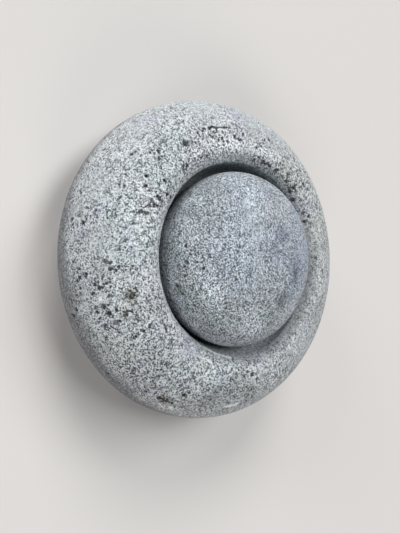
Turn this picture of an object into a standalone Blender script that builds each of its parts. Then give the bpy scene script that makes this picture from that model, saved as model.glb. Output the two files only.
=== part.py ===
# A worked river pebble: a thick, round stone with a bowl-shaped recess in its
# top, and a smaller, smooth domed pebble that sits loose in the recess.
# Metres, +Z up. The origin is the centre of the flat underside.

from math import atan2, cos, hypot, pi, radians, remainder, sin

import bmesh
import bpy

# Driving dimensions of the outer stone
STONE_RADIUS = 0.0500
STONE_HEIGHT = 0.0304
EQUATOR_HEIGHT = 0.0127
CREST_RADIUS = 0.0335
BASE_RADIUS = 0.0260

# The recess in its top
MOUTH_RADIUS = 0.0286
MOUTH_HEIGHT = 0.0271
LIP_RADIUS = 0.0008
RECESS_FLOOR_HEIGHT = 0.0085

# The loose pebble in the recess
PEBBLE_RADIUS = 0.0264
PEBBLE_WAIST_HEIGHT = 0.0251
PEBBLE_TOP_HEIGHT = 0.0414
REST_GAP = 0.0003

# How full each curve is: 2 is an ellipse, and more is squarer at the shoulder
FLANK_FULLNESS = 2.11
UNDERSIDE_FULLNESS = 2.0
RECESS_FULLNESS = 2.1
PEBBLE_FULLNESS = 2.1

# How the crest falls away to the recess: 1 is a straight slope, and more drops
# later. The lip then starts on a 45 degree slope.
SHOULDER_FALL = 2.0
LIP_START_SLOPE = pi / 4

# River wear leaves both stones a little out of round: how far, and which way
# the longest diameter points, in radians from +X
STONE_OUT_OF_ROUND = 0.0003
STONE_LONG_DIRECTION = 0.6
PEBBLE_OUT_OF_ROUND = 0.00015
PEBBLE_LONG_DIRECTION = 2.0
OVAL_SHARE = 0.7
FOUR_SIDED_SHARE = 0.3

# The mouth of the recess is worn unevenly: it is widened towards one side,
# pinched at one place, and its wall leans in on one side. Each is an amount, the
# direction of its middle, and how far round it reaches, in radians from +X.
MOUTH_WIDENED = (0.0006, radians(90), radians(120))
MOUTH_PINCHED = (-0.00045, radians(-38), radians(26))
WALL_LEAN = (-0.0009, radians(-15), radians(55))
# Brings the largest value of up * up * (1 - up), which is 4 / 27, to one
LEAN_SCALE = 6.75

# How finely the shapes are faceted
STONE_SIDES = 96
PEBBLE_SIDES = 72
FLANK_STEPS = 10
UNDERSIDE_STEPS = 6
SHOULDER_STEPS = 4
LIP_STEPS = 3
RECESS_STEPS = 7
PEBBLE_STEPS = 9
WELD_DISTANCE = 0.00002
SHARP_ANGLE = pi / 5

# Colour, roughness and metallic value of each stone
STONE_FINISH = ((0.42, 0.45, 0.46, 1.0), 0.85, 0.0)
PEBBLE_FINISH = ((0.30, 0.33, 0.37, 1.0), 0.75, 0.0)


def quarter_curve(side, pole, steps, fullness):
    # A quarter of a superellipse, as (radius, height) points: it leaves side
    # upright and reaches pole level. The side point itself is left out.
    power = 2.0 / fullness
    points = []
    for step in range(1, steps):
        angle = 0.5 * pi * step / steps
        radius = pole[0] + (side[0] - pole[0]) * cos(angle) ** power
        height = side[1] + (pole[1] - side[1]) * sin(angle) ** power
        points.append((radius, height))
    return points + [pole]


def lip_curve(steps):
    # A small round edge that turns from its first slope to the upright wall.
    points = []
    for step in range(steps + 1):
        angle = LIP_START_SLOPE + (0.5 * pi - LIP_START_SLOPE) * step / steps
        radius = MOUTH_RADIUS + LIP_RADIUS * (1.0 - sin(angle))
        height = MOUTH_HEIGHT + LIP_RADIUS * cos(angle)
        points.append((radius, height))
    return points


def shoulder_curve(crest, lip, steps):
    # The crest falls away to the lip of the recess, ever more steeply.
    points = []
    for step in range(1, steps):
        share = step / steps
        radius = crest[0] + (lip[0] - crest[0]) * share
        height = crest[1] + (lip[1] - crest[1]) * share ** SHOULDER_FALL
        points.append((radius, height))
    return points


def stone_profile():
    # From the centre of the underside, out over the flank, into the recess.
    equator = (STONE_RADIUS, EQUATOR_HEIGHT)
    crest = (CREST_RADIUS, STONE_HEIGHT)
    underside = quarter_curve(equator, (BASE_RADIUS, 0.0), UNDERSIDE_STEPS, UNDERSIDE_FULLNESS)
    flank = quarter_curve(equator, crest, FLANK_STEPS, FLANK_FULLNESS)
    lip = lip_curve(LIP_STEPS)
    shoulder = shoulder_curve(crest, lip[0], SHOULDER_STEPS)
    recess = quarter_curve(lip[-1], (0.0, RECESS_FLOOR_HEIGHT), RECESS_STEPS, RECESS_FULLNESS)
    return [(0.0, 0.0), *reversed(underside), equator, *flank, *shoulder, *lip, *recess]


def pebble_profile():
    # From the lowest point, round the waist, to the top of the dome.
    foot = (0.0, RECESS_FLOOR_HEIGHT + REST_GAP)
    waist = (PEBBLE_RADIUS, PEBBLE_WAIST_HEIGHT)
    lower = quarter_curve(waist, foot, PEBBLE_STEPS, PEBBLE_FULLNESS)
    upper = quarter_curve(waist, (0.0, PEBBLE_TOP_HEIGHT), PEBBLE_STEPS, PEBBLE_FULLNESS)
    return [*reversed(lower), waist, *upper]


def turned_body(profile, sides):
    # Turns a profile once round +Z and welds it into one closed body.
    body = bmesh.new()
    points = [body.verts.new((radius, 0.0, height)) for radius, height in profile]
    lines = [body.edges.new(pair) for pair in zip(points, points[1:])]
    bmesh.ops.spin(
        body,
        geom=points + lines,
        cent=(0.0, 0.0, 0.0),
        axis=(0.0, 0.0, 1.0),
        angle=2.0 * pi,
        steps=sides,
        use_merge=True,
    )
    bmesh.ops.remove_doubles(body, verts=body.verts, dist=WELD_DISTANCE)
    bmesh.ops.recalc_face_normals(body, faces=body.faces)
    return body


def wear_out_of_round(body, radius, amount, long_direction):
    # Lengthens one diameter and shortens the one across it, and adds a weaker
    # four-sided wear. Both leave the middle of the body where it is.
    for point in body.verts:
        around = atan2(point.co.y, point.co.x) - long_direction
        oval = OVAL_SHARE * cos(2.0 * around)
        four_sided = FOUR_SIDED_SHARE * sin(4.0 * around)
        outward = min(hypot(point.co.x, point.co.y) / radius, 1.0)
        share = 1.0 + amount * (oval + four_sided) / radius * outward
        point.co.x *= share
        point.co.y *= share


def swelling(around, amount, middle, reach):
    # A smooth bulge in the direction middle, that has died away at reach.
    off = remainder(around - middle, 2.0 * pi)
    if abs(off) > reach:
        return 0.0
    return amount * cos(0.5 * pi * off / reach) ** 2


def lean_share(up_wall):
    # None at the floor and the lip, and all of it two thirds of the way up.
    return LEAN_SCALE * up_wall ** 2 * (1.0 - up_wall)


def wear_mouth(body):
    # Moves the lip and the wall of the recess out or in. The flank, the floor of
    # the recess and the underside stay as they are.
    for point in body.verts:
        out = hypot(point.co.x, point.co.y)
        below_crest = (CREST_RADIUS - out) / (CREST_RADIUS - MOUTH_RADIUS)
        up_wall = (point.co.z - RECESS_FLOOR_HEIGHT) / (MOUTH_HEIGHT - RECESS_FLOOR_HEIGHT)
        if below_crest <= 0.0 or up_wall <= 0.0:
            continue
        around = atan2(point.co.y, point.co.x)
        edge = swelling(around, *MOUTH_WIDENED) + swelling(around, *MOUTH_PINCHED)
        move = edge * min(below_crest, 1.0) * min(up_wall, 1.0)
        if up_wall < 1.0:
            move += swelling(around, *WALL_LEAN) * lean_share(up_wall)
        share = 1.0 + move / max(out, WELD_DISTANCE)
        point.co.x *= share
        point.co.y *= share


def stone_material(name, finish):
    colour, roughness, metallic = finish
    material = bpy.data.materials.new(name)
    material.use_nodes = True
    shader = material.node_tree.nodes["Principled BSDF"]
    shader.inputs["Base Color"].default_value = colour
    shader.inputs["Roughness"].default_value = roughness
    shader.inputs["Metallic"].default_value = metallic
    return material


def add_stone(name, body, finish):
    mesh = bpy.data.meshes.new(name)
    body.to_mesh(mesh)
    body.free()
    mesh.shade_smooth()
    mesh.set_sharp_from_angle(angle=SHARP_ANGLE)
    mesh.materials.append(stone_material(name, finish))
    stone = bpy.data.objects.new(name, mesh)
    bpy.context.scene.collection.objects.link(stone)


def outer_stone():
    body = turned_body(stone_profile(), STONE_SIDES)
    wear_out_of_round(body, STONE_RADIUS, STONE_OUT_OF_ROUND, STONE_LONG_DIRECTION)
    wear_mouth(body)
    add_stone("outer_stone", body, STONE_FINISH)


def inner_pebble():
    body = turned_body(pebble_profile(), PEBBLE_SIDES)
    wear_out_of_round(body, PEBBLE_RADIUS, PEBBLE_OUT_OF_ROUND, PEBBLE_LONG_DIRECTION)
    add_stone("inner_pebble", body, PEBBLE_FINISH)


def main():
    for left_over in list(bpy.data.objects):
        bpy.data.objects.remove(left_over, do_unlink=True)
    outer_stone()
    inner_pebble()


main()
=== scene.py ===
# A worked river pebble: a thick round stone with a recess in its top, and a smooth domed pebble
# resting in it. Metres, +Z up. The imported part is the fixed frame; both stones are remade here
# finely enough to hold their pits.

from math import atan2, cos, degrees, hypot, pi, radians, remainder, sin
from random import Random

import bmesh
import bpy
from mathutils import Matrix, Vector, kdtree, noise


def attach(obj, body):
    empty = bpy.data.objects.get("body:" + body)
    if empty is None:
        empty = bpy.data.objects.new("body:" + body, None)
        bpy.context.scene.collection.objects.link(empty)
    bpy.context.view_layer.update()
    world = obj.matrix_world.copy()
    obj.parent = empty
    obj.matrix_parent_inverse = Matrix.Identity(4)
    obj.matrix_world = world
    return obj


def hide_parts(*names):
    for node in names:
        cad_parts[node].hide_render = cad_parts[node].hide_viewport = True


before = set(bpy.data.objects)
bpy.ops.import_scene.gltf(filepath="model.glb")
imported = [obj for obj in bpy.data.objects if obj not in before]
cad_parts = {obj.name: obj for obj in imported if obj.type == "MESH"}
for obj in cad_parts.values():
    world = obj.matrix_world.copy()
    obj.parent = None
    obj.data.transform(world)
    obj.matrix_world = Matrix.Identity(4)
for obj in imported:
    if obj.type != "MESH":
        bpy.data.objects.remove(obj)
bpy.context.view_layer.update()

mm = 0.001
weldDistance = 0.002 * mm
# points nearer the axis than this count as being this far out
leastRadius = 0.02 * mm
# how the out-of-round wear of both stones is shared between an oval and a four-sided form
ovalShare = 0.7
fourSidedShare = 0.3
# brings the largest value of up * up * (1 - up), which is 4 / 27, to one
leanScale = 6.75


def quarterCurve(side, pole, steps, fullness):
    # a quarter of a superellipse, as (radius, height): upright at side, which is left out, and level
    # at pole
    power = 2.0 / fullness
    points = []
    for step in range(1, steps):
        angle = 0.5 * pi * step / steps
        radius = pole[0] + (side[0] - pole[0]) * cos(angle) ** power
        height = side[1] + (pole[1] - side[1]) * sin(angle) ** power
        points.append((radius, height))
    return points + [pole]


def superRise(share, fullness):
    # height of the same curve as a share of its full rise, from the share of the way out
    return (1.0 - min(share, 1.0) ** fullness) ** (1.0 / fullness)


def turnedBody(profile, sides, slices=20):
    # spins the profile through one slice, repeats the slice round the axis, and welds it all shut
    body = bmesh.new()
    points = [body.verts.new((radius, 0.0, height)) for radius, height in profile]
    lines = [body.edges.new(pair) for pair in zip(points, points[1:])]
    turn = 2.0 * pi / slices
    bmesh.ops.spin(body, geom=points + lines, cent=(0, 0, 0), axis=(0, 0, 1), angle=turn,
                   steps=sides // slices)
    wedge = body.verts[:] + body.edges[:] + body.faces[:]
    bmesh.ops.spin(body, geom=wedge, cent=(0, 0, 0), axis=(0, 0, 1), angle=2.0 * pi - turn,
                   steps=slices - 1, use_duplicate=True)
    bmesh.ops.remove_doubles(body, verts=body.verts, dist=weldDistance)
    bmesh.ops.recalc_face_normals(body, faces=body.faces)
    return body


def wearOutOfRound(body, radius, amount, longDirection):
    # one diameter a little longer than the one across it, with a weaker four-sided wear
    for point in body.verts:
        around = atan2(point.co.y, point.co.x) - longDirection
        swell = amount * (ovalShare * cos(2.0 * around) + fourSidedShare * sin(4.0 * around))
        share = 1.0 + swell / radius * min(hypot(point.co.x, point.co.y) / radius, 1.0)
        point.co.x *= share
        point.co.y *= share


def smoothStep(low, high, value):
    share = min(max((value - low) / (high - low), 0.0), 1.0)
    return share * share * (3.0 - 2.0 * share)


def plateau(edges, value):
    # 1 between the two inner edges and 0 beyond the two outer ones, with soft changes
    return smoothStep(edges[0], edges[1], value) * (1.0 - smoothStep(edges[2], edges[3], value))


def facing(around, side):
    # 1 in the direction side and 0 opposite it, in degrees
    return 0.5 + 0.5 * cos(radians(around - side))


def swelling(around, amount, middle, reach):
    # a smooth bulge in the direction middle that has died away at reach, all in degrees
    off = remainder(around - middle, 360.0)
    return amount * cos(0.5 * pi * off / reach) ** 2 if abs(off) < reach else 0.0


def bumpy(place, size, seed):
    # soft noise from -1 to 1 whose lumps are about size across
    return noise.noise(place / size + Vector((seed * 7.3, seed * 3.1, seed * 5.7)))


def refineNear(body, centres, reaches):
    # splits the edges near the named marks, once for each reach, so that they come out crisp
    tree = kdtree.KDTree(len(centres))
    for index, centre in enumerate(centres):
        tree.insert(centre, index)
    tree.balance()
    for reach in reaches:
        near = [edge for edge in body.edges
                if tree.find(0.5 * (edge.verts[0].co + edge.verts[1].co))[2] < reach]
        bmesh.ops.subdivide_edges(body, edges=near, cuts=1, use_grid_fill=True)


def triangleCount(mesh):
    return sum(len(face.vertices) - 2 for face in mesh.polygons)


# how far from its centre a mark is looked for, how ragged its outline is, the size of the ragged lumps
# and where its edge starts and ends, all as shares of its radius, and a seed
pitShape = {"search": 1.6, "ragged": 0.5, "lumps": 0.6, "edge": (0.75, 1.15), "seed": 4}
patchShape = {"search": 1.6, "ragged": 0.3, "lumps": 0.5, "edge": (0.2, 1.3), "seed": 9}
# a crack is a string of pits: their spacing, how far they wander, their middling radius and how much
# that swells, all as shares of its half width, and the size of the lumps of both changes
crackShape = {"spacing": 0.35, "wander": 0.6, "thickness": 0.8, "swell": 0.5,
              "wanderSize": 1.5 * mm, "swellSize": 1.1 * mm}


class Surface:
    # the skin of one stone: how far each point is worn in, and what each point is stained with
    def __init__(self, body, marks):
        body.verts.ensure_lookup_table()
        body.verts.index_update()
        body.normal_update()
        self.body = body
        self.places = [point.co.copy() for point in body.verts]
        self.wear = [0.0] * len(self.places)
        self.hollows = [0.0] * len(self.places)
        self.marks = {mark: [0.0] * len(self.places) for mark in marks}
        self.tree = kdtree.KDTree(len(self.places))
        for index, place in enumerate(self.places):
            self.tree.insert(place, index)
        self.tree.balance()

    def nearest(self, place):
        return self.tree.find(place)[0]

    def covered(self, centre, radius, shape):
        # each point near a mark, with how fully the mark covers it
        for place, index, distance in self.tree.find_range(centre, shape["search"] * radius):
            lumps = bumpy(place, shape["lumps"] * radius, shape["seed"])
            off = distance / radius * (1.0 + shape["ragged"] * lumps)
            yield index, 1.0 - smoothStep(*shape["edge"], off)

    def pit(self, centre, radius, depth, **stains):
        # a ragged round hollow that darkens or stains what it touches
        for index, share in self.covered(centre, radius, pitShape):
            self.hollows[index] = max(self.hollows[index], depth * share)
            for mark, strength in stains.items():
                self.marks[mark][index] = max(self.marks[mark][index], strength * share)

    def patch(self, centre, radius, mark, amount):
        # a soft-edged patch that adds to one mark
        for index, share in self.covered(centre, radius, patchShape):
            self.marks[mark][index] += amount * share

    def crack(self, places, width, depth, **stains):
        # a wandering groove or streak through a few places, cut as a string of small pits
        for start, end in zip(places, places[1:]):
            along = end - start
            count = max(int(along.length / (crackShape["spacing"] * width)), 2)
            across = along.cross(Vector((0, 0, 1))).normalized()
            for step in range(count + 1):
                place = start + along * (step / count)
                wander = crackShape["wander"] * width * bumpy(place, crackShape["wanderSize"], 2)
                place += across * wander
                swell = crackShape["swell"] * bumpy(place, crackShape["swellSize"], 8)
                thick = width * (crackShape["thickness"] + swell)
                self.pit(self.nearest(place), thick, depth * thick / width, **stains)

    def finish(self, name):
        # wears every point in along its normal and makes the object; a hollow shows only where it
        # is deeper than the general wear, which leaves it a crisp edge
        for point, wear, hollow in zip(self.body.verts, self.wear, self.hollows):
            point.co -= point.normal * (wear + hollow if hollow > wear else wear)
        mesh = bpy.data.meshes.new(name)
        self.body.to_mesh(mesh)
        self.body.free()
        mesh.shade_smooth()
        for mark, amounts in self.marks.items():
            mesh.attributes.new(mark, "FLOAT", "POINT").data.foreach_set("value", amounts)
        stone = bpy.data.objects.new(name, mesh)
        bpy.context.scene.collection.objects.link(stone)
        return stone


# sockets of a Mix node for colours: its share, its two colours and its result
mixShare, mixFirst, mixSecond, mixResult = 0, 6, 7, 2


class Wire:
    # one output socket of a node tree, so that shader maths reads as plain expressions
    def __init__(self, tree, socket=None):
        self.tree = tree
        self.socket = socket

    def node(self, kind, settings=None, sockets=None, output=0):
        made = self.tree.nodes.new("ShaderNode" + kind)
        for name, value in (settings or {}).items():
            if name == "stops":
                ramp = made.color_ramp
                while len(ramp.elements) < len(value):
                    ramp.elements.new(0.5)
                for element, (position, colour) in zip(ramp.elements, value):
                    element.position = position
                    element.color = colour
            else:
                setattr(made, name, value)
        for name, value in (sockets or {}).items():
            if isinstance(value, Wire):
                self.tree.links.new(value.socket, made.inputs[name])
            else:
                made.inputs[name].default_value = value
        return Wire(self.tree, made.outputs[output])

    def maths(self, operation, first, second):
        return self.node("Math", {"operation": operation}, {0: first, 1: second})

    def __add__(self, other):
        return self.maths("ADD", self, other)

    def __radd__(self, other):
        return self.maths("ADD", other, self)

    def __sub__(self, other):
        return self.maths("SUBTRACT", self, other)

    def __rsub__(self, other):
        return self.maths("SUBTRACT", other, self)

    def __mul__(self, other):
        return self.maths("MULTIPLY", self, other)

    def __rmul__(self, other):
        return self.maths("MULTIPLY", other, self)

    def step(self, low, high):
        # 0 below low, 1 above high, with a soft change between
        return self.node("MapRange", {"interpolation_type": "SMOOTHSTEP"},
                         {"Value": self, "From Min": low, "From Max": high})

    def shifted(self, places, shift):
        return self.node("VectorMath", {"operation": "ADD"}, {0: places, 1: (shift, shift, shift)})

    def noise(self, places, size, detail=1.0, roughness=0.5, shift=0.0, output=0):
        # cloudy noise whose lumps are about size millimetres
        sockets = {"Vector": self.shifted(places, shift), "Scale": 1.0 / size, "Detail": detail,
                   "Roughness": roughness}
        return self.node("TexNoise", None, sockets, output)

    def grains(self, places, size, output="Color"):
        # packed grains about size millimetres across, each with its own random shade
        return self.node("TexVoronoi", None, {"Vector": places, "Scale": 1.0 / size}, output)

    def dots(self, places, size, shift, crowding):
        # lone round spots in packed cells about size millimetres across; crowding is the share of
        # the cells that have one
        moved = self.shifted(places, shift)
        chance = self.node("SeparateColor", None, {0: self.grains(moved, size)})
        present = (chance + crowding).step(0.96, 1.0)
        outside = self.grains(moved, size, "Distance").step(0.26, 0.46)
        return present * (1.0 - outside)

    def ramp(self, shade, stops):
        return self.node("ValToRGB", {"stops": stops}, {0: shade})

    def tint(self, share, colour, tint):
        settings = {"data_type": "RGBA", "blend_type": "MULTIPLY"}
        sockets = {mixShare: share, mixFirst: colour, mixSecond: tint}
        return self.node("Mix", settings, sockets, mixResult)

    def mix(self, share, first, second):
        sockets = {mixShare: share, mixFirst: first, mixSecond: second}
        return self.node("Mix", {"data_type": "RGBA"}, sockets, mixResult)

    def scaled(self, colour, share):
        return self.node("VectorMath", {"operation": "SCALE"}, {0: colour, "Scale": share})

    def mark(self, name):
        return self.node("Attribute", {"attribute_name": name}, None, "Fac")

    def plug(self, socket):
        self.tree.links.new(self.socket, socket)


def newMaterial(name):
    material = bpy.data.materials.new(name)
    material.use_nodes = True
    return material, Wire(material.node_tree), material.node_tree.nodes["Principled BSDF"]


def warpedMillimetres(graph, values):
    # object coordinates in millimetres, and the same pushed about so that grains are ragged
    inMetres = graph.node("TexCoord", None, None, "Object")
    plain = graph.scaled(inMetres, 1.0 / mm)
    push = graph.noise(plain, values["pushSize"], output="Color")
    centred = graph.node("VectorMath", {"operation": "SUBTRACT"}, {0: push, 1: (0.5, 0.5, 0.5)})
    reach = [values["pushReach"]] * 3
    pushed = graph.node("VectorMath", {"operation": "MULTIPLY_ADD"}, {0: centred, 1: reach, 2: plain})
    return plain, pushed


def grainSpread(graph, values, pushed):
    # grains of every shade, packed tight, with finer dust and soft lumps among them, about zero
    grain = graph.node("SeparateColor", None, {0: graph.grains(pushed, values["grainSize"])})
    dust = graph.noise(pushed, *values["dust"])
    lumps = graph.noise(pushed, *values["lumps"])
    spread = values["grainWeight"] * (grain - 0.5) + values["dustWeight"] * (dust - 0.5)
    return spread + values["lumpWeight"] * (lumps - 0.5)


def plugStone(graph, shader, values, plain, colour, shade, height):
    # slow changes of tone, the palest grains a little glossier than the rest, and a fine bump
    tone = values["toneBase"] + values["toneWeight"] * graph.noise(plain, *values["tone"])
    # the tone mark adds listed changes of tone, partly the stone's own and partly painted light and shade
    graph.scaled(colour, tone + graph.mark("toneShift")).plug(shader.inputs["Base Color"])
    dullness = values["dullness"] - values["paleGloss"] * shade.step(0.4, 0.9)
    dullness.plug(shader.inputs["Roughness"])
    relief = {"Strength": values["bumpStrength"], "Distance": values["bumpHeight"], "Height": height}
    graph.node("Bump", None, relief).plug(shader.inputs["Normal"])
    shader.inputs["Specular IOR Level"].default_value = values["specular"]


outerStone = {
    "radius": 50.0 * mm, "height": 30.4 * mm, "equatorHeight": 12.7 * mm,
    "crestRadius": 33.5 * mm, "baseRadius": 26.0 * mm,
    "mouthRadius": 28.6 * mm, "mouthHeight": 27.1 * mm, "lipRadius": 0.8 * mm,
    "recessFloor": 8.5 * mm,
    "flankFullness": 2.11, "undersideFullness": 2.0, "recessFullness": 2.1,
    "shoulderFall": 2.0, "lipStartSlope": 0.25 * pi,
    "outOfRound": 0.3 * mm, "longDirection": 0.6,
    "sides": 560, "flankSteps": 58, "undersideSteps": 10, "shoulderSteps": 11, "lipSteps": 4,
    "recessSteps": 13,
    # each an amount, the direction of its middle and how far round it reaches, in degrees from +X
    "mouthWidened": (0.6 * mm, 90, 120), "mouthPinched": (-0.45 * mm, -38, 26),
    "wallLean": (-0.9 * mm, -15, 55),
    # painted light on the shoulder, the lit side of the recess wall where the recess's painted shade is
    # left off, and extra painted shade on the wall's dark side
    "shoulderPaintedLight": (0.34, -176, 52), "litWall": (0.9, 8, 75), "wallPaintedShade": (0.25, 140, 50),
    # general wear: slow unevenness and fine pecking, with the size of their lumps, and the height
    # below which they fade to the flat underside
    "inset": 0.02 * mm, "unevenness": 0.12 * mm, "unevenSize": 11.0 * mm,
    "pecking": 0.10 * mm, "peckSize": 0.9 * mm, "baseFade": 3.0 * mm,
    # the polished band low on the flank, darkened with painted shade: its height, how much higher it
    # climbs at one side, which side that is, how narrow the climb is, how soft its edge is and how much
    # that edge wanders
    "bandHeight": 14.5 * mm, "bandClimb": 6.2 * mm, "bandSide": -50, "bandNarrowness": 6,
    "bandSoftness": 3.0 * mm, "bandWander": 1.2 * mm, "bandWanderSize": 5.0 * mm,
    # how rough the band and the recess are beside the rest, and between which heights about the
    # mouth the recess begins
    "bandRoughness": 0.6, "recessRoughness": 0.55, "recessEdge": (-0.6 * mm, 0.4 * mm),
    # the lip is rubbed smooth, most of all and widest at one side
    "smoothLipSide": 40, "smoothLip": 0.5, "smoothLipStart": 0.2 * mm,
    "smoothLipWidth": 1.4 * mm, "smoothLipWiden": 1.6 * mm,
    # two stretches of painted shade near the lip, how far out they fade, and where the painted light on
    # the shoulder lies
    "lipPaintedShade": 0.24, "lipPaintedShadeReach": (-85, -55, 85, 125),
    "lipPaintedShadeMore": 0.18, "lipPaintedShadeMoreReach": (0, 25, 75, 105),
    "lipPaintedShadeFade": (-0.5 * mm, 4.2 * mm),
    "shoulderPaintedLightReach": (30.0 * mm, 31.5 * mm, 33.3 * mm, 35.8 * mm),
    # small pits from a seeded draw: how many, how far out and how wide in millimetres, how deep as
    # a share of their radius, and how dark
    "smallPits": 520, "smallPitPlaces": (30.5, 49.0), "smallPitRadii": (0.2, 0.45),
    "smallPitDepth": 0.5, "smallPitShades": (0.3, 0.85), "seed": 11,
    "brownDepth": 0.25 * mm, "markReaches": (1.4 * mm, 0.9 * mm),
    # the grain: sizes in millimetres, and noises as size, detail, roughness and shift
    "grainSize": 0.38, "pushSize": 0.8, "pushReach": 0.35,
    "dust": (0.34, 1.5, 0.6, 40.0), "lumps": (1.3, 2.0, 0.6, 50.0), "clumps": (3.5, 2.0, 0.6, 80.0),
    "drift": (7.0, 3.0, 0.55, 20.0), "tone": (11.0, 3.0, 0.5, 60.0),
    "grainWeight": 0.62, "dustWeight": 1.7, "lumpWeight": 0.6,
    "middleShade": 0.56, "grainContrast": 1.3, "leastContrast": 0.16,
    "denseContrast": 0.2, "denseShade": 0.03,
    "grainShades": [(0.0, (0.060, 0.069, 0.078, 1)), (0.3, (0.255, 0.285, 0.305, 1)),
                    (0.55, (0.48, 0.525, 0.55, 1)), (0.8, (0.70, 0.755, 0.785, 1)),
                    (1.0, (0.84, 0.885, 0.90, 1))],
    # crystals: size in millimetres, shift and crowding, and how dense and clumped the dark ones are
    "darkCrystal": (0.66, 90.0), "darkCrowding": 0.17, "denseCrowding": 0.10, "clumping": 0.9,
    "brightCrystal": (0.5, 120.0), "brightCrowding": 0.16,
    "darkGrain": (0.045, 0.052, 0.06, 1), "brightGrain": (0.86, 0.92, 0.94, 1),
    "whiteFleck": (0.93, 0.99, 1.0, 1), "pitColour": (0.018, 0.019, 0.022, 1),
    "brown": (0.085, 0.085, 0.062, 1), "oliveTint": (0.62, 0.61, 0.56, 1),
    "lilacTint": (0.95, 0.92, 1.0, 1), "greenTint": (0.94, 1.0, 1.0, 1),
    # lowBandTint darkens the band low on the flank as painted shade
    "warmTint": (1.0, 0.985, 0.95, 1), "lowBandTint": (0.46, 0.445, 0.455, 1),
    # inRecessTint darkens the inside of the recess as painted shade
    "inRecessTint": (0.55, 0.56, 0.545, 1),
    "toneBase": 0.82, "toneWeight": 0.16, "dullness": 0.94, "paleGloss": 0.16, "specular": 0.35,
    "bumpStrength": 0.5, "bumpHeight": 0.10 * mm,
}
stoneMarks = ["grainShow", "pitShade", "brownStain", "whiteFleck", "darkDensity", "inRecess",
              "lowBand", "coarse", "lilac", "green", "warm", "toneShift"]

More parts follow.
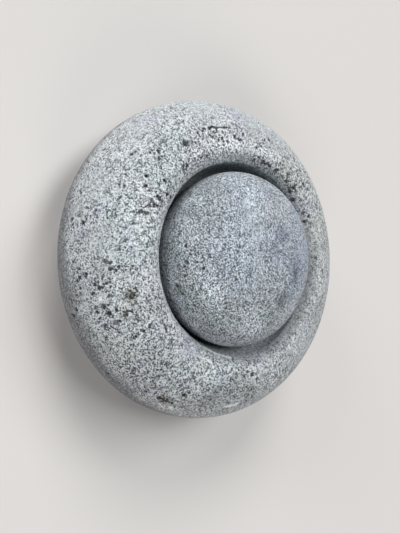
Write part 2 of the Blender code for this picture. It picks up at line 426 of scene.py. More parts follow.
# marks are placed by a direction in degrees from +X and a distance from the axis in millimetres; their
# sizes are in millimetres too
stonePits = [  # direction, distance, radius, depth, darkness
    (-146, 37.3, 0.98, 0.8, 0.80), (-149, 37, 0.42, 0.3, 0.7), (-138, 33.1, 0.53, 0.4, 0.8),
    (-140, 32.4, 0.59, 0.5, 0.9), (-139, 31.9, 0.48, 0.4, 0.8), (-137, 32.4, 0.42, 0.3, 0.8),
    (-154, 38.2, 0.42, 0.3, 0.85), (-156.5, 38.3, 0.42, 0.3, 0.8), (-158.5, 38.6, 0.42, 0.3, 0.85),
    (-164, 37.6, 0.45, 0.3, 0.85), (-162, 37.2, 0.45, 0.3, 0.8), (-159.5, 36.7, 0.45, 0.3, 0.85),
    (-160, 35.9, 0.40, 0.3, 0.75), (-165.5, 35.1, 0.53, 0.4, 0.9), (-163.5, 34.7, 0.42, 0.3, 0.8),
    (-166, 34.2, 0.45, 0.4, 0.9), (-166, 33.1, 0.40, 0.3, 0.8), (-168.5, 34.1, 0.42, 0.3, 0.8),
    (-173.5, 35.5, 0.56, 0.4, 0.85), (-176, 34.7, 0.50, 0.4, 0.85), (-177.5, 34.7, 0.50, 0.4, 0.85),
    (-179, 36.4, 0.42, 0.3, 0.7), (172.5, 33.6, 0.42, 0.3, 0.75), (169, 34.6, 0.40, 0.3, 0.7),
    (167, 37.1, 0.40, 0.3, 0.7), (164, 38.1, 0.50, 0.3, 0.8), (-154, 31.6, 0.53, 0.4, 0.9),
    (-146, 32.7, 0.42, 0.3, 0.9), (-127.5, 44.3, 0.46, 0.3, 0.9), (-134, 40.2, 0.53, 0.3, 0.8),
    (-132, 38.8, 0.53, 0.3, 0.8), (-131.5, 41.4, 0.42, 0.3, 0.7), (-137.5, 41.1, 0.37, 0.2, 0.7),
    (-126, 42.0, 0.42, 0.2, 0.6), (-123, 39.1, 0.53, 0.4, 1.0), (-126, 34.7, 0.5, 0.4, 1.0),
    (-119.5, 38.0, 0.46, 0.3, 0.9), (-116, 42.4, 0.42, 0.3, 0.8), (-111, 49.0, 0.42, 0.3, 0.8),
    (-106, 46.1, 0.42, 0.3, 0.6), (-122, 31.9, 0.59, 0.4, 0.9), (-123, 30.3, 0.62, 0.5, 0.9),
    (-118.5, 34.2, 0.50, 0.4, 0.9), (-117.5, 33.5, 0.50, 0.4, 0.85), (-118, 32.5, 0.45, 0.4, 0.85),
    (-114.5, 34.2, 0.50, 0.4, 0.85), (-114.5, 33.4, 0.45, 0.3, 0.8), (-115.5, 35.3, 0.45, 0.3, 0.8),
    (-110, 36.9, 0.42, 0.3, 0.7), (-103, 49.2, 0.5, 0.5, 1.0), (-102, 47.7, 0.5, 0.5, 1.0),
    (-94.5, 40.5, 0.42, 0.3, 0.7), (-90.5, 43.4, 0.60, 0.3, 0.6), (-90, 42.4, 0.50, 0.3, 0.8),
    (-88, 42.5, 0.50, 0.3, 0.8), (-87.5, 41.4, 0.45, 0.3, 0.8), (-88.5, 40.7, 0.45, 0.3, 0.75),
    (-88.5, 47.9, 0.42, 0.3, 0.8), (-87, 46.9, 0.45, 0.3, 0.9), (-86, 48.0, 0.45, 0.4, 0.85),
    (-85, 48.4, 0.42, 0.3, 0.8), (-83, 48.1, 0.45, 0.3, 0.8), (-81, 46.2, 0.45, 0.3, 0.8),
    (-83.5, 45.7, 0.48, 0.3, 0.85), (-82.5, 45.0, 0.50, 0.4, 0.85), (-82.5, 44.4, 0.45, 0.3, 0.8),
    (-83.5, 43.5, 0.45, 0.3, 0.8), (-79.5, 43.3, 0.60, 0.3, 0.6), (-76.5, 44.9, 0.72, 0.4, 0.75),
    (-75, 46.3, 0.45, 0.4, 0.9), (-74, 44.3, 0.72, 0.5, 0.85), (-74.5, 42.7, 0.48, 0.3, 0.8),
    (-70.5, 43.6, 0.80, 0.3, 0.5), (-70.5, 42.7, 0.42, 0.3, 0.7), (-64, 38.8, 0.48, 0.4, 0.85),
    (-63.5, 41.0, 0.45, 0.3, 0.8), (-76.5, 49.2, 0.56, 0.6, 1.0), (-74.5, 49.7, 0.62, 0.6, 1.0),
    (-64.5, 37.0, 0.53, 0.4, 0.8), (-54, 49.4, 0.59, 0.5, 0.8), (-43, 46.8, 0.50, 0.4, 0.8),
    (-32, 42.6, 0.68, 0.5, 0.9), (-31, 41.3, 0.5, 0.3, 0.85), (-3, 33.1, 0.42, 0.3, 0.8),
    (0.5, 34.2, 0.62, 0.4, 0.95), (3.5, 36.1, 0.53, 0.4, 0.9), (171, 30.2, 0.62, 0.3, 0.85),
    (168.5, 31.1, 0.45, 0.3, 0.7), (164.5, 30.6, 0.60, 0.4, 0.7), (162.5, 30.5, 0.50, 0.4, 0.8),
    (161, 30.9, 0.66, 0.4, 0.7), (159, 30.7, 0.60, 0.4, 0.8), (153.5, 30.7, 0.72, 0.5, 0.75),
    (152.5, 31.2, 0.56, 0.4, 0.7), (153.5, 33.3, 0.42, 0.3, 0.75), (151.5, 33.4, 0.45, 0.3, 0.8),
    (152, 34.6, 0.40, 0.3, 0.7), (143.5, 30.6, 0.45, 0.3, 0.8), (136.5, 31.3, 0.78, 0.5, 0.65),
    (137, 32.0, 0.62, 0.4, 0.6), (133, 33.7, 0.66, 0.4, 0.6), (133, 35.3, 0.72, 0.5, 0.7),
    (129, 36.0, 0.60, 0.4, 0.8), (136, 29.9, 0.72, 0.4, 0.75), (130, 29.5, 0.78, 0.4, 0.8),
    (141, 36.1, 0.40, 0.3, 0.6), (139.5, 37.8, 0.40, 0.3, 0.6), (113.5, 30.0, 0.7, 0.4, 0.6),
    (115.5, 31.6, 0.6, 0.4, 0.65), (119, 30.4, 0.59, 0.4, 0.6), (82, 34.9, 0.48, 0.3, 0.8),
    (80.5, 35.2, 0.42, 0.3, 0.7), (-78.3, 38.4, 0.6, 0.3, 0.65), (-77.5, 38.9, 0.45, 0.3, 0.55),
]
stoneCracks = [  # places, half width, depth, darkness, brownness
    ([(-160.5, 38.5), (-162.5, 38.7), (-164.5, 38.3)], 0.36, 0.4, 0.95, 0.0),
    ([(-164.5, 38.3), (-167, 38.2), (-172, 38.0)], 0.20, 0.3, 0.85, 0.0),
    ([(-108.5, 37.8), (-109.5, 36.5), (-110, 35.2)], 0.40, 0.4, 0.62, 0.3),
    ([(-111, 36.6), (-113.5, 35.4)], 0.24, 0.3, 0.75, 0.2),
    ([(-104, 34.3), (-105.5, 32.0)], 0.2, 0.2, 0.55, 0.0),
    ([(-102, 41.0), (-102, 39.1)], 0.18, 0.2, 0.55, 0.0),
    ([(-105, 42.2), (-105.5, 41.1)], 0.18, 0.2, 0.5, 0.0),
    ([(-100, 36.3), (-101.5, 34.5)], 0.18, 0.2, 0.5, 0.0),
    ([(-98, 33.8), (-99.5, 31.6)], 0.2, 0.2, 0.55, 0.0),
    ([(-96.5, 40.6), (-98, 38.7)], 0.18, 0.2, 0.5, 0.0),
    ([(-105.5, 37.6), (-104.5, 38.9)], 0.18, 0.2, 0.5, 0.0),
    ([(-73.5, 46.0), (-73, 46.4)], 0.28, 0.3, 0.85, 0.0),
    ([(-71, 45.6), (-69.5, 46.1)], 0.30, 0.3, 0.7, 0.0),
    ([(-80.5, 37.4), (-79, 37.1)], 0.36, 0.3, 0.85, 0.0),
    ([(-72, 39.5), (-73, 40.0), (-73, 40.7), (-71.5, 41.0)], 0.20, 0.3, 0.75, 0.5),
    ([(-38, 46.4), (-36.5, 46.0), (-35, 45.9)], 0.52, 0.5, 0.66, 1.0),
    ([(-35, 45.9), (-32.5, 45.8)], 0.40, 0.4, 0.55, 1.0),
]
stoneStreaks = [  # pale scratches, and one painted highlight along the lip: places, half width, paleness
    ([(-35.5, 47.2), (-31.6, 48.0)], 0.30, 0.7), ([(-31.6, 47.6), (-27.9, 46.6)], 0.25, 0.6),
    ([(-11, 43.5), (-7, 43.6), (-4.5, 43.0)], 0.42, 1.0), ([(12.7, 40.8), (17.8, 39.7)], 0.28, 0.8),
    # a painted highlight along the edge of the lip
    ([(-31, 28.7), (-25.5, 28.8), (-18, 29.0), (-11.5, 29.2)], 0.46, 1.0),
    ([(11, 29.3), (15.8, 31.1)], 0.22, 0.55), ([(-31, 31.5), (-27.5, 31.6), (-25.5, 32.8)], 0.32, 0.75),
    ([(-27.5, 34), (-28, 35.5), (-32, 37)], 0.26, 0.6),
]
stoneBrown = [  # direction, distance, radius
    (-78, 39.0, 0.8), (-79.5, 38.9, 0.5), (-72.5, 41.0, 0.7), (-37.5, 45.8, 1.1), (-36, 46.4, 0.9),
    (-33.5, 45.7, 0.7),
]
stoneWhite = [  # direction, distance, radius
    (-79, 45.1, 0.6), (-78.5, 42.7, 0.3), (-67, 44.6, 0.4), (-71.7, 40.3, 0.28), (-31, 46.9, 0.7),
    (-8, 43.3, 0.6), (63, 33.6, 0.5),
]
stonePatches = {  # by what they change: direction, distance, radius, amount
    "darkDensity": [
        (-82, 45.6, 6.0, 0.5), (-73, 44.0, 5.0, 0.3), (-152, 35.5, 8.0, 0.6), (-120, 33.0, 4.5, 0.9),
        (134, 32.5, 5.0, 0.8), (-99, 40.0, 5.0, -0.8),
    ],
    "grainShow": [
        (-165, 45.5, 8.0, -0.6), (175, 43.5, 7.5, -0.6), (158, 42.0, 7.0, -0.5), (-138, 47.0, 7.0, -0.5),
        (-115, 47.5, 6.0, -0.5), (-97, 45.0, 5.5, -0.45), (-150, 45.0, 4.5, -0.25),
        (-126, 45.5, 4.5, -0.2), (-158, 41.5, 3.0, -0.2), (88, 37.0, 9.0, -0.30), (62, 38.0, 10.0, -0.35),
        (38, 38.5, 9.0, -0.35), (-45, 31.5, 4.0, -0.25), (-106, 49.0, 3.0, -0.4),
        (-104, 38.0, 4.0, -0.35), (-130, 45.0, 4.0, -0.25), (110, 33.0, 4.0, -0.25),
    ],
    "coarse": [
        (-65, 36.0, 9.0, 0.45), (-45, 41.0, 8.0, 0.45), (-15, 32.0, 6.0, 0.7), (170, 31.0, 4.5, 0.6),
        (145, 31.0, 4.5, 0.5), (-165, 31.5, 4.5, 0.5), (-148, 31.5, 4.0, 0.3), (-5, 38.0, 7.0, 0.5),
        (15, 37.0, 7.0, 0.25), (-30, 38.0, 9.0, 0.3), (-54, 46.0, 5.0, 0.4), (-10, 39.0, 4.0, 0.3),
        (175, 31.5, 3.5, -0.5), (15, 37.7, 3.5, 0.3),
    ],
    "lilac": [
        (-142, 47.0, 5.0, 0.6), (-99, 47.5, 2.8, 0.9), (-106, 45.5, 3.0, 0.6), (-84, 46.5, 4.0, 0.5),
        (-44, 31.5, 4.0, 1.0), (-178, 42.5, 6.0, 0.6),
    ],
    "green": [
        (-75, 44.0, 6.0, 0.5), (-127, 37.0, 8.0, 0.7), (-96, 37.7, 8.0, 0.8), (-109, 42.8, 6.0, 0.7),
        (-144, 40.4, 5.0, 0.5), (-60, 38.0, 8.0, 0.6), (-42, 37.0, 8.0, 0.6), (-15, 37.0, 9.0, 0.5),
        (-22, 34.3, 4.0, 0.5),
    ],
    "warm": [
        (105, 38.0, 13.0, 0.9), (145, 38.0, 10.0, 0.8), (60, 40.0, 10.0, 0.5),
    ],
    # spots of lighter and darker tone, partly the stone's own and partly painted light and shade
    "toneShift": [
        (-115, 36.0, 6.0, 0.10), (-107, 39.5, 3.0, 0.12), (60, 36.5, 6.0, -0.12), (0, 40.0, 4.0, -0.22),
        (132, 32.3, 2.5, 0.14), (120, 31.2, 2.0, 0.12), (-82, 40.9, 2.2, 0.20), (-88, 44.5, 3.0, -0.10),
        (-70, 35.5, 5.0, -0.10), (-98, 37.2, 3.0, 0.10), (-75.5, 38.3, 2.4, -0.14),
        (-47, 31.5, 3.5, -0.10), (-37, 33.0, 4.0, -0.10), (-14, 38.5, 6.0, -0.20),
        (-21, 43.2, 4.0, -0.12), (-27, 35.0, 2.0, 0.10), (-10, 35.0, 3.0, -0.10), (-4, 35.5, 3.5, -0.12),
        (-22, 40.5, 4.0, -0.10), (-53, 38.0, 6.0, -0.12), (-104, 36.5, 5.5, 0.22),
        (-170, 35.5, 7.0, 0.14), (-150, 35.5, 4.0, 0.10), (-134, 37.0, 3.5, 0.12),
        (-70, 33.0, 3.5, -0.10), (-83, 48.0, 4.0, -0.14), (-130, 45.0, 3.5, 0.10),
        (-93.5, 44.0, 2.5, 0.10), (-65, 37.5, 3.0, 0.10), (-80, 49.0, 3.0, -0.18),
        (-89, 44.0, 2.0, -0.10), (-78, 39.0, 2.0, -0.14), (-63, 49.9, 4.0, -0.10),
    ],
    "whiteFleck": [
        (-79, 45.1, 1.7, 0.35),
    ],
    "brownStain": [
        (-78.3, 39.0, 1.8, 0.8), (-72.5, 41.0, 1.6, 0.5), (-36, 45.8, 2.2, 0.5),
    ],
}


def mouthMove(values, around):
    # how far the edge of the recess stands out from its plain circle
    return swelling(around, *values["mouthWidened"]) + swelling(around, *values["mouthPinched"])


def wearMouth(body, values):
    # widens the mouth of the recess to one side, pinches it at one place, and leans its wall in
    crest, mouth = values["crestRadius"], values["mouthRadius"]
    floor, lip = values["recessFloor"], values["mouthHeight"]
    for point in body.verts:
        out = hypot(point.co.x, point.co.y)
        belowCrest = min((crest - out) / (crest - mouth), 1.0)
        upWall = min((point.co.z - floor) / (lip - floor), 1.0)
        if belowCrest <= 0.0 or upWall <= 0.0:
            continue
        around = degrees(atan2(point.co.y, point.co.x))
        leaning = leanScale * upWall ** 2 * (1.0 - upWall)
        move = mouthMove(values, around) * belowCrest * upWall
        move += swelling(around, *values["wallLean"]) * leaning
        share = 1.0 + move / max(out, leastRadius)
        point.co.x *= share
        point.co.y *= share


def outerStoneProfile(values):
    # from the middle of the underside, over the flank and the lip, to the middle of the recess
    equator = (values["radius"], values["equatorHeight"])
    crest = (values["crestRadius"], values["height"])
    base = (values["baseRadius"], 0.0)
    underside = quarterCurve(equator, base, values["undersideSteps"], values["undersideFullness"])
    flank = quarterCurve(equator, crest, values["flankSteps"], values["flankFullness"])
    lip = []
    for step in range(values["lipSteps"] + 1):
        slope = values["lipStartSlope"]
        angle = slope + (0.5 * pi - slope) * step / values["lipSteps"]
        lip.append((values["mouthRadius"] + values["lipRadius"] * (1.0 - sin(angle)),
                    values["mouthHeight"] + values["lipRadius"] * cos(angle)))
    shoulder = []
    for step in range(1, values["shoulderSteps"]):
        share = step / values["shoulderSteps"]
        shoulder.append((crest[0] + (lip[0][0] - crest[0]) * share,
                         crest[1] + (lip[0][1] - crest[1]) * share ** values["shoulderFall"]))
    middle = (0.0, values["recessFloor"])
    recess = quarterCurve(lip[-1], middle, values["recessSteps"], values["recessFullness"])
    return [(0.0, 0.0), *reversed(underside), equator, *flank, *shoulder, *lip, *recess]


def onStone(values, around, distance):
    # a place on the upper skin of the outer stone
    out = distance * mm
    crest = values["crestRadius"]
    if out >= crest:
        share = (out - crest) / (values["radius"] - crest)
        rise = superRise(share, values["flankFullness"])
        height = values["equatorHeight"] + (values["height"] - values["equatorHeight"]) * rise
    else:
        share = (crest - out) / (crest - values["mouthRadius"])
        fall = values["height"] - values["mouthHeight"]
        height = values["height"] - fall * share ** values["shoulderFall"]
    return Vector((out * cos(radians(around)), out * sin(radians(around)), height))


def weatherOuterStone(skin, values):
    # the general wear of the skin, and the marks that follow its shape
    for index, place in enumerate(skin.places):
        around = degrees(atan2(place.y, place.x))
        out = hypot(place.x, place.y)
        offMouth = out - values["mouthRadius"] - mouthMove(values, around)
        aboveFloor = place.z > 0.5 * values["recessFloor"]
        upperSide = aboveFloor or out > values["mouthRadius"]
        inRecess = 0.0
        if aboveFloor and out < values["crestRadius"]:
            inRecess = 1.0 - smoothStep(*values["recessEdge"], place.z - values["mouthHeight"])

        climb = facing(around, values["bandSide"]) ** values["bandNarrowness"]
        bandTop = values["bandHeight"] + values["bandClimb"] * climb
        bandTop += values["bandWander"] * bumpy(place, values["bandWanderSize"], 12)
        softness = values["bandSoftness"]
        aboveBand = smoothStep(bandTop - softness, bandTop + softness, place.z)

        smoothSide = facing(around, values["smoothLipSide"])
        lipEnd = values["smoothLipWidth"] + values["smoothLipWiden"] * smoothSide
        beyondLip = smoothStep(values["smoothLipStart"], lipEnd, offMouth)
        rubbed = values["smoothLip"] * smoothSide * (1.0 - beyondLip)
        rough = values["bandRoughness"] + (1.0 - values["bandRoughness"]) * aboveBand
        rough *= 1.0 - rubbed
        rough += (values["recessRoughness"] - rough) * inRecess

        worn = values["unevenness"] * (0.5 + 0.5 * bumpy(place, values["unevenSize"], 1))
        pecked = values["pecking"] * (0.5 + 0.5 * bumpy(place, values["peckSize"], 3))
        offBase = smoothStep(0.0, values["baseFade"], place.z)
        skin.wear[index] = offBase * (values["inset"] + worn + pecked * rough)

        skin.marks["grainShow"][index] = rough
        # painted shade on the band low on the flank, but not in the recess
        skin.marks["lowBand"][index] = (1.0 - aboveBand) * (1.0 - inRecess)
        # painted shade inside the recess, left off the lit side of its wall
        skin.marks["inRecess"][index] = inRecess * (1.0 - swelling(around, *values["litWall"]))

        # painted shade near the lip, fading outward from the mouth and left off inside the recess; it
        # goes into the tone with the painted light on the shoulder and the painted shade on the recess
        # wall
        shade = values["lipPaintedShade"] * plateau(values["lipPaintedShadeReach"], around)
        shade += values["lipPaintedShadeMore"] * plateau(values["lipPaintedShadeMoreReach"], around)
        shade *= (1.0 - smoothStep(*values["lipPaintedShadeFade"], offMouth)) * (1.0 - inRecess)
        # painted light on the shoulder at one side
        paintedLight = swelling(around, *values["shoulderPaintedLight"]) * plateau(values["shoulderPaintedLightReach"], out)
        wallPaintedShade = swelling(around, *values["wallPaintedShade"]) * inRecess
        skin.marks["toneShift"][index] = (paintedLight - shade if upperSide else 0.0) - wallPaintedShade


def makeOuterStone(values):
    body = turnedBody(outerStoneProfile(values), values["sides"])
    wearOutOfRound(body, values["radius"], values["outOfRound"], values["longDirection"])
    wearMouth(body, values)

    # a finer mesh wherever a named mark will lie
    spots = [onStone(values, *mark[:2]) for mark in stonePits + stoneWhite + stoneBrown]
    for places, *rest in stoneCracks + stoneStreaks:
        points = [onStone(values, *place) for place in places]
        for start, end in zip(points, points[1:]):
            spots += [start.lerp(end, quarter / 4) for quarter in range(5)]
    refineNear(body, spots, values["markReaches"])

    skin = Surface(body, stoneMarks)
    weatherOuterStone(skin, values)

    def spot(around, distance):
        return skin.nearest(onStone(values, around, distance))

    for mark, patches in stonePatches.items():
        for around, distance, radius, amount in patches:
            skin.patch(spot(around, distance), radius * mm, mark, amount)
    skin.marks["grainShow"] = [min(max(share, 0.0), 1.0) for share in skin.marks["grainShow"]]
    random = Random(values["seed"])
    for count in range(values["smallPits"]):
        centre = spot(random.uniform(-180.0, 180.0), random.uniform(*values["smallPitPlaces"]))
        radius = random.uniform(*values["smallPitRadii"]) * mm
        darkness = random.uniform(*values["smallPitShades"])
        skin.pit(centre, radius, values["smallPitDepth"] * radius, pitShade=darkness)
    for around, distance, radius, depth, darkness in stonePits:
        skin.pit(spot(around, distance), radius * mm, depth * mm, pitShade=darkness)
    for places, width, depth, darkness, brownness in stoneCracks:
        skin.crack([spot(*place) for place in places], width * mm, depth * mm,
                   pitShade=darkness, brownStain=brownness)
    for places, width, paleness in stoneStreaks:
        skin.crack([spot(*place) for place in places], width * mm, 0.0, whiteFleck=paleness)
    for around, distance, radius in stoneBrown:
        skin.pit(spot(around, distance), radius * mm, values["brownDepth"], brownStain=1.0)
    for around, distance, radius in stoneWhite:
        skin.pit(spot(around, distance), radius * mm, 0.0, whiteFleck=1.0)

    stone = skin.finish("outerStone")
    stone.data.materials.append(speckledStone(values))
    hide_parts("outer_stone")
    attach(stone, "root")
    print("outer stone:", triangleCount(stone.data), "triangles")


def speckledStone(values):
    material, graph, shader = newMaterial("speckledStone")
    plain, pushed = warpedMillimetres(graph, values)
    show = graph.mark("grainShow")
    density = graph.mark("darkDensity")
    least = values["leastContrast"]
    contrast = values["grainContrast"] * (least + (1.0 - least) * show)
    contrast = contrast * (1.0 + values["denseContrast"] * density + graph.mark("coarse"))
    shade = values["middleShade"] + grainSpread(graph, values, pushed) * contrast
    shade = shade - values["denseShade"] * density
    colour = graph.ramp(shade, values["grainShades"])

    # dark and bright crystals, the dark ones thickest where the skin is marked as dense
    clumps = values["clumping"] * (graph.noise(plain, *values["clumps"]) - 0.5)
    crowding = values["darkCrowding"] + values["denseCrowding"] * density + clumps
    dark = graph.dots(pushed, *values["darkCrystal"], crowding) * show
    bright = graph.dots(pushed, *values["brightCrystal"], values["brightCrowding"]) * show
    colour = graph.mix(bright, colour, values["brightGrain"])
    colour = graph.mix(dark, colour, values["darkGrain"])

    # soft drifts of tint, and painted shade on the smoother band low on the flank and inside the recess
    drift = graph.noise(plain, *values["drift"]).step(0.50, 0.70)
    lilac = (0.7 * drift + graph.mark("lilac")).step(0.0, 1.0)
    colour = graph.tint(lilac, colour, values["lilacTint"])
    for mark in ["green", "warm", "lowBand", "inRecess"]:
        colour = graph.tint(graph.mark(mark), colour, values[mark + "Tint"])

    # what the named marks leave behind; brown lies thickest on the darker grains
    stain = graph.mark("brownStain")
    colour = graph.tint(stain, colour, values["oliveTint"])
    colour = graph.mix(stain * (1.2 - shade).step(0.3, 0.7), colour, values["brown"])
    colour = graph.mix(graph.mark("pitShade"), colour, values["pitColour"])
    colour = graph.mix(graph.mark("whiteFleck"), colour, values["whiteFleck"])
    plugStone(graph, shader, values, plain, colour, shade, shade - dark)
    return material


innerPebble = {
    "radius": 26.4 * mm, "waistHeight": 25.1 * mm, "topHeight": 41.4 * mm, "footHeight": 8.8 * mm,
    "fullness": 2.1, "outOfRound": 0.15 * mm, "longDirection": 2.0,
    "sides": 440, "upperSteps": 86, "lowerSteps": 24,
    # general wear, with the size of its lumps
    "inset": 0.03 * mm, "unevenness": 0.10 * mm, "unevenSize": 9.0 * mm,
    "dimples": 0.03 * mm, "dimpleSize": 1.4 * mm,
    # the smoother side of the flank, which faces the gap: its middle and how far round it reaches, in
    # degrees from +X, the heights between which it ends, the painted shade it gets and what it does to
    # contrast
    "smoothSide": (-130, 60), "smoothHeights": (25.5 * mm, 29.0 * mm),
    "smoothSidePaintedShade": -0.05, "smoothContrast": -0.4,
    # small pits from a seeded draw, as on the outer stone, and how dark the named ones are
    "smallPits": 70, "smallPitReach": 26.0, "smallPitRadii": (0.2, 0.4),
    "smallPitDepth": 0.35, "smallPitShades": (0.2, 0.6), "seed": 5,
    "pitShade": 0.85, "markReaches": (1.2 * mm, 0.8 * mm),
    # the grain: sizes in millimetres, and noises as size, detail, roughness and shift
    "grainSize": 0.24, "pushSize": 0.8, "pushReach": 0.25,
    "dust": (0.22, 1.5, 0.6, 30.0), "lumps": (1.1, 2.0, 0.6, 15.0),
    "streaks": (0.9, 2.0, 0.5, 70.0), "tone": (6.0, 3.0, 0.55, 5.0),
    "grainWeight": 0.62, "dustWeight": 1.9, "lumpWeight": 0.25, "streakWeight": 0.22,
    "streakLength": 4.0, "middleShade": 0.52, "grainContrast": 2.3,
    "grainShades": [(0.0, (0.035, 0.042, 0.049, 1)), (0.3, (0.165, 0.190, 0.212, 1)),
                    (0.55, (0.33, 0.378, 0.418, 1)), (0.8, (0.54, 0.61, 0.67, 1)),
                    (1.0, (0.78, 0.86, 0.93, 1))],
    "pitColour": (0.025, 0.025, 0.03, 1), "paleFleck": (0.62, 0.69, 0.74, 1),
    "blueTint": (0.87, 0.95, 1.06, 1), "purpleTint": (0.86, 0.845, 0.97, 1),
    "greenTint": (0.93, 0.98, 0.95, 1), "oliveTint": (0.62, 0.64, 0.56, 1),
    "toneBase": 0.87, "toneWeight": 0.2, "dullness": 0.86, "paleGloss": 0.14, "specular": 0.35,
    "bumpStrength": 0.35, "bumpHeight": 0.07 * mm,
}
pebbleMarks = ["pitShade", "paleFleck", "blue", "purple", "green", "olive", "contrast", "toneShift"]
pebblePits = [  # direction, distance, radius, depth
    (-89, 21.9, 0.35, 0.3), (-94, 23.1, 0.4, 0.3), (-89, 23.6, 0.35, 0.3), (-84, 20.8, 0.4, 0.3),
    (-99, 24.0, 0.4, 0.3), (-70, 25.2, 0.5, 0.3), (-75, 25.6, 0.4, 0.3),
]
pebbleStreaks = [  # pale lines: places, half width, paleness
    ([(-154, 9.9), (-90, 7.5), (-18, 9.0)], 0.30, 0.35), ([(119, 7.6), (126, 6.8)], 0.55, 0.6),
    ([(-161, 18.3), (-140, 12.5), (-125, 8.5)], 0.35, 0.3), ([(-60, 8.8), (-28, 12.5)], 0.3, 0.25),
]
pebblePatches = {  # by what they change: direction, distance, radius, amount
    "blue": [
        (-108, 11.8, 11.0, 0.35), (-160, 20.0, 8.0, 0.3), (-71, 12.6, 9.0, 0.2), (100, 20.0, 6.0, 0.3),
        (90, 12.0, 12.0, 0.3), (35, 11.3, 4.0, 0.4), (130, 18.0, 5.0, 0.4),
    ],
    "purple": [
        (100, 19.0, 5.0, 0.3), (154, 7.5, 3.6, 0.5), (-155, 2.5, 2.8, 0.3), (71, 9.0, 3.6, 0.6),
        (57, 10.8, 2.6, 0.3), (174, 18.8, 3.5, 0.5), (154, 6.1, 5.5, 0.4), (49, 1.7, 4.0, 0.4),
        (89, 13.0, 5.0, 0.5),
    ],
    "green": [
        (-95, 25.0, 4.0, 0.9), (-132, 24.7, 4.0, 0.7), (-66, 24.0, 5.0, 0.7), (-41, 22.5, 5.0, 0.9),
        (-6, 16.6, 3.0, 0.8),
    ],
    "olive": [
        (5, 19.0, 2.0, 0.8), (-73, 25.3, 1.9, 0.9), (-60, 25.3, 1.6, 0.6),
    ],
    "contrast": [
        (-121, 23.0, 6.0, 0.6), (-90, 23.0, 7.5, 0.6), (-59, 22.5, 7.5, 0.8), (-24, 21.0, 8.0, 0.8),
        (5, 21.0, 6.0, 0.5), (-10, 21.7, 4.0, 0.5), (-109, 22.0, 4.0, 0.3), (-148, 12.0, 6.5, -0.5),
        (-90, 12.0, 8.0, 0.2), (95, 15.0, 10.0, -0.1), (60, 20.0, 7.0, -0.25), (130, 20.0, 7.0, -0.2),
    ],
    # spots of lighter and darker tone, partly the pebble's own and partly painted light and shade, such
    # as the darker spots along the rim beside the gap
    "toneShift": [
        (154, 7.5, 3.4, -0.22), (115, 7.0, 6.0, -0.12), (-155, 2.5, 2.8, -0.22), (71, 9.0, 3.2, -0.20),
        (57, 10.8, 3.0, -0.26), (17, 12.7, 3.4, -0.28), (125, 6.0, 1.8, 0.12), (-166, 19.4, 1.8, 0.20),
        (-158, 15.8, 1.8, 0.20), (-147, 12.5, 1.8, 0.16), (-10, 20.5, 4.5, 0.16), (-45, 21.0, 3.5, 0.14),
        (40, 17.0, 3.0, 0.14), (20, 12.0, 2.5, -0.15), (33, 19.5, 2.5, 0.15), (10, 20.5, 3.0, 0.10),
        (-67, 14.0, 2.5, 0.12), (-135, 8.5, 3.0, 0.10), (-154, 22.7, 2.6, -0.12),
        (-142, 25.0, 3.5, -0.14), (-120, 24.5, 3.0, -0.10), (-140, 21.8, 7.0, -0.12),
        (-150, 24.8, 3.0, -0.15), (-170, 24.5, 3.0, -0.18), (165, 24.5, 4.0, -0.18),
        (-68, 20.8, 3.0, 0.12), (-4, 19.0, 3.5, 0.10), (-55, 17.5, 4.5, 0.12), (-74, 20.0, 4.0, 0.10),
        (-8, 20.5, 4.0, 0.10), (175, 24.0, 4.0, -0.16), (-122, 25.0, 3.0, -0.14), (-89, 25.0, 3.0, -0.14),
        (170, 19.0, 3.5, -0.10), (-120, 20.5, 5.0, -0.18), (-104, 9.5, 4.5, 0.12), (-62, 20.5, 4.0, 0.24),
        (-24, 18.5, 6.5, 0.26), (24, 18.2, 2.6, 0.16), (90, 24.5, 7.0, -0.10),
    ],
}


def onPebble(values, around, distance):
    # a place on the dome of the inner pebble
    out = distance * mm
    rise = superRise(out / values["radius"], values["fullness"])
    height = values["waistHeight"] + (values["topHeight"] - values["waistHeight"]) * rise
    return Vector((out * cos(radians(around)), out * sin(radians(around)), height))


def weatherInnerPebble(skin, values):
    # the general wear, and the flank that faces the gap, smoother at one side and given a little painted
    # shade there
    for index, place in enumerate(skin.places):
        worn = values["unevenness"] * (0.5 + 0.5 * bumpy(place, values["unevenSize"], 6))
        dimpled = values["dimples"] * (0.5 + 0.5 * bumpy(place, values["dimpleSize"], 7))
        skin.wear[index] = values["inset"] + worn + dimpled
        around = degrees(atan2(place.y, place.x))
        low = 1.0 - smoothStep(*values["smoothHeights"], place.z)
        smooth = low * swelling(around, 1.0, *values["smoothSide"])
        skin.marks["toneShift"][index] = values["smoothSidePaintedShade"] * smooth
        skin.marks["contrast"][index] = values["smoothContrast"] * smooth


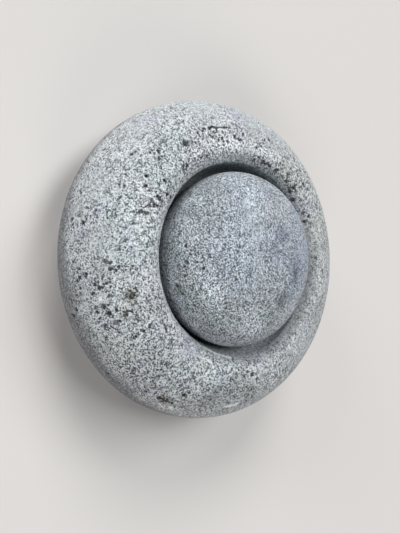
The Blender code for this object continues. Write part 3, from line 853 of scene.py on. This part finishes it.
def makeInnerPebble(values):
    waist = (values["radius"], values["waistHeight"])
    foot = (0.0, values["footHeight"])
    top = (0.0, values["topHeight"])
    lower = quarterCurve(waist, foot, values["lowerSteps"], values["fullness"])
    upper = quarterCurve(waist, top, values["upperSteps"], values["fullness"])
    body = turnedBody([*reversed(lower), waist, *upper], values["sides"])
    wearOutOfRound(body, values["radius"], values["outOfRound"], values["longDirection"])
    refineNear(body, [onPebble(values, *mark[:2]) for mark in pebblePits], values["markReaches"])
    skin = Surface(body, pebbleMarks)
    weatherInnerPebble(skin, values)

    def spot(around, distance):
        return skin.nearest(onPebble(values, around, distance))

    random = Random(values["seed"])
    for count in range(values["smallPits"]):
        around = random.uniform(-180.0, 180.0)
        centre = spot(around, values["smallPitReach"] * random.random() ** 0.5)
        radius = random.uniform(*values["smallPitRadii"]) * mm
        darkness = random.uniform(*values["smallPitShades"])
        skin.pit(centre, radius, values["smallPitDepth"] * radius, pitShade=darkness)
    for around, distance, radius, depth in pebblePits:
        skin.pit(spot(around, distance), radius * mm, depth * mm, pitShade=values["pitShade"])
    for places, width, paleness in pebbleStreaks:
        skin.crack([spot(*place) for place in places], width * mm, 0.0, paleFleck=paleness)
    for mark, patches in pebblePatches.items():
        for around, distance, radius, amount in patches:
            skin.patch(spot(around, distance), radius * mm, mark, amount)

    pebble = skin.finish("innerPebble")
    pebble.data.materials.append(blueGreyStone(values))
    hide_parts("inner_pebble")
    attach(pebble, "root")
    print("inner pebble:", triangleCount(pebble.data), "triangles")


def blueGreyStone(values):
    material, graph, shader = newMaterial("blueGreyStone")
    plain, pushed = warpedMillimetres(graph, values)
    # faint streaks that run along X
    stretch = (1.0 / values["streakLength"], 1.0, 1.0)
    squeezed = graph.node("VectorMath", {"operation": "MULTIPLY"}, {0: plain, 1: stretch})
    streaks = graph.noise(squeezed, *values["streaks"])
    spread = grainSpread(graph, values, pushed) + values["streakWeight"] * (streaks - 0.5)
    shade = values["middleShade"] + values["grainContrast"] * (1.0 + graph.mark("contrast")) * spread
    colour = graph.ramp(shade, values["grainShades"])
    for mark in ["blue", "purple", "green", "olive"]:
        colour = graph.tint(graph.mark(mark), colour, values[mark + "Tint"])
    colour = graph.mix(graph.mark("pitShade"), colour, values["pitColour"])
    colour = graph.mix(graph.mark("paleFleck"), colour, values["paleFleck"])
    plugStone(graph, shader, values, plain, colour, shade, shade)
    return material


studio = {
    "floorColour": (0.72, 0.715, 0.70, 1), "floorRoughness": 0.9, "floorReach": 5.0,
    "ambient": 0.02, "backdrop": 0.80, "backdropColour": (0.8, 0.8, 0.8, 1),
    # soft suns: direction round from +Y towards +X and height above the floor, both in degrees,
    # strength, colour
    "suns": [(225, 12, 1.09, (1, 1, 1)), (270, 30, 1.57, (1.0, 0.95, 0.94)),
             (90, 30, 0.60, (1.0, 0.88, 0.84)), (135, 30, 0.61, (1, 1, 1)),
             (315, 50, 0.95, (1, 1, 1)), (315, 70, 0.84, (1, 1, 1))],
    "softness": 24.0,
    "lens": 27.0, "sensorWidth": 36.0, "clipStart": 5 * mm,
    "cameraDistance": 131.8 * mm, "cameraHeightAngle": 52.0, "aimHeight": 12.75 * mm,
    # small turns of the camera about its own axes, in radians
    "pan": -0.0303, "tilt": 0.0155, "roll": 0.0297,
}


def addFloor(values):
    body = bmesh.new()
    bmesh.ops.create_grid(body, x_segments=8, y_segments=8, size=values["floorReach"])
    mesh = bpy.data.meshes.new("floor")
    body.to_mesh(mesh)
    body.free()
    floor = bpy.data.objects.new("floor", mesh)
    bpy.context.scene.collection.objects.link(floor)
    material, graph, shader = newMaterial("paleFloor")
    shader.inputs["Base Color"].default_value = values["floorColour"]
    shader.inputs["Roughness"].default_value = values["floorRoughness"]
    mesh.materials.append(material)


def addLights(values):
    for number, (around, up, strength, colour) in enumerate(values["suns"]):
        light = bpy.data.lights.new(f"softSun{number}", "SUN")
        light.energy = strength
        light.color = colour
        light.angle = radians(values["softness"])
        lamp = bpy.data.objects.new(f"softSun{number}", light)
        level = cos(radians(up))
        towards = Vector((sin(radians(around)) * level, cos(radians(around)) * level,
                          sin(radians(up))))
        lamp.rotation_euler = (-towards).to_track_quat("-Z", "Y").to_euler()
        lamp.location = towards
        bpy.context.scene.collection.objects.link(lamp)

    # faint light from all round, behind a plain pale backdrop
    world = bpy.data.worlds.new("studioAir")
    bpy.context.scene.world = world
    world.use_nodes = True
    tree = world.node_tree
    air = tree.nodes["Background"]
    air.inputs["Color"].default_value = (1, 1, 1, 1)
    air.inputs["Strength"].default_value = values["ambient"]
    ambient = Wire(tree, air.outputs[0])
    pale = {"Color": values["backdropColour"], "Strength": values["backdrop"]}
    backdrop = ambient.node("Background", None, pale)
    seen = ambient.node("LightPath", None, None, "Is Camera Ray")
    chosen = ambient.node("MixShader", None, {0: seen, 1: ambient, 2: backdrop})
    chosen.plug(tree.nodes["World Output"].inputs["Surface"])


def turnTogether(first, second, angle):
    # turns two square directions together, the first towards the second
    return (first * cos(angle) + second * sin(angle), second * cos(angle) - first * sin(angle))


def addCamera(values):
    # stands over the -Y side, looking down at the stone, a quarter turn round so that -X is up
    data = bpy.data.cameras.new("camera")
    data.lens = values["lens"]
    data.sensor_width = values["sensorWidth"]
    data.clip_start = values["clipStart"]
    camera = bpy.data.objects.new("camera", data)
    bpy.context.scene.collection.objects.link(camera)
    slope = radians(values["cameraHeightAngle"])
    place = Vector((0.0, -cos(slope), sin(slope))) * values["cameraDistance"]
    place += Vector((0.0, 0.0, values["aimHeight"]))
    forward = Vector((0.0, cos(slope), -sin(slope)))
    right = Vector((0.0, sin(slope), cos(slope)))
    down = Vector((1.0, 0.0, 0.0))
    forward, right = turnTogether(forward, right, values["pan"])
    forward, down = turnTogether(forward, down, values["tilt"])
    right, down = turnTogether(right, down, values["roll"])
    turn = Matrix((right, -down, -forward)).transposed()
    camera.matrix_world = Matrix.Translation(place) @ turn.to_4x4()
    bpy.context.scene.camera = camera


makeOuterStone(outerStone)
makeInnerPebble(innerPebble)
addFloor(studio)
addLights(studio)
addCamera(studio)
bpy.context.scene.view_settings.view_transform = "Standard"
print("floor, lights and camera are in place")
